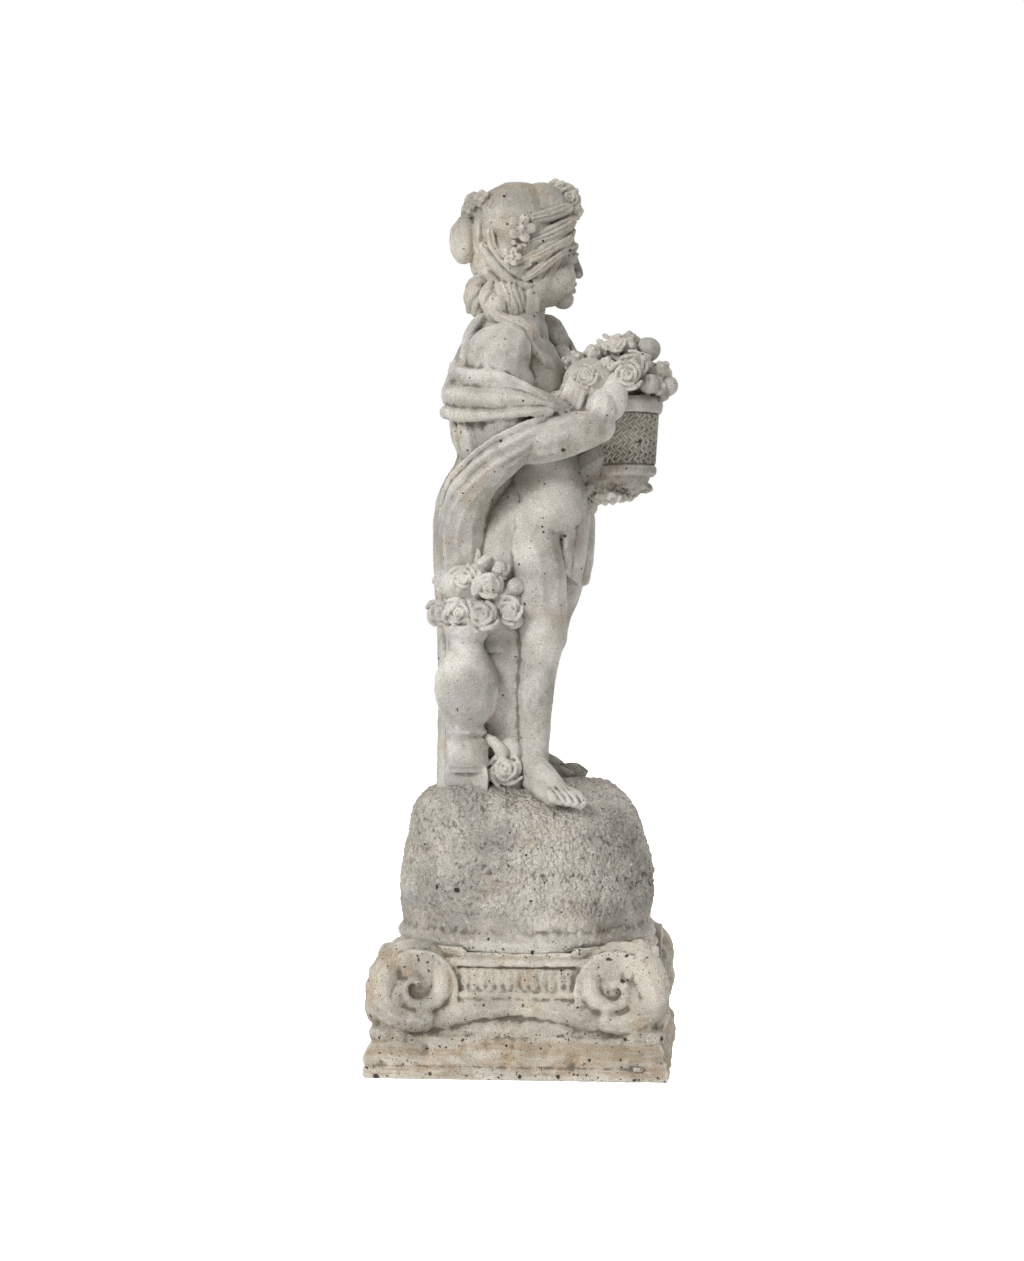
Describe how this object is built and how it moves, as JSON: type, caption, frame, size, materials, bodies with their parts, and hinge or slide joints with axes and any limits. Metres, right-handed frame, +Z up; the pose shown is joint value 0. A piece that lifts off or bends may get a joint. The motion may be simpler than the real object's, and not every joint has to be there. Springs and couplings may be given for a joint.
{
  "type": "girl statue",
  "caption": "Cast-stone garden statue of a draped girl holding a basket of fruit, standing by an urn of roses on a rocky mound over an upturned Ionic capital.",
  "frame": {"origin": "centre of the capital's square underside, on the ground", "axes": "+Z up; the figure faces -Y, with its right hand on the -X side"},
  "size_m": [0.2982, 0.3041, 0.8965],
  "materials": {
    "cast_stone": "matt, weathered",
    "pale_cast_stone": "matt, weathered"
  },
  "bodies": {
    "root": {"statue": "cast_stone", "capital": "pale_cast_stone"}
  },
  "joints": []
}
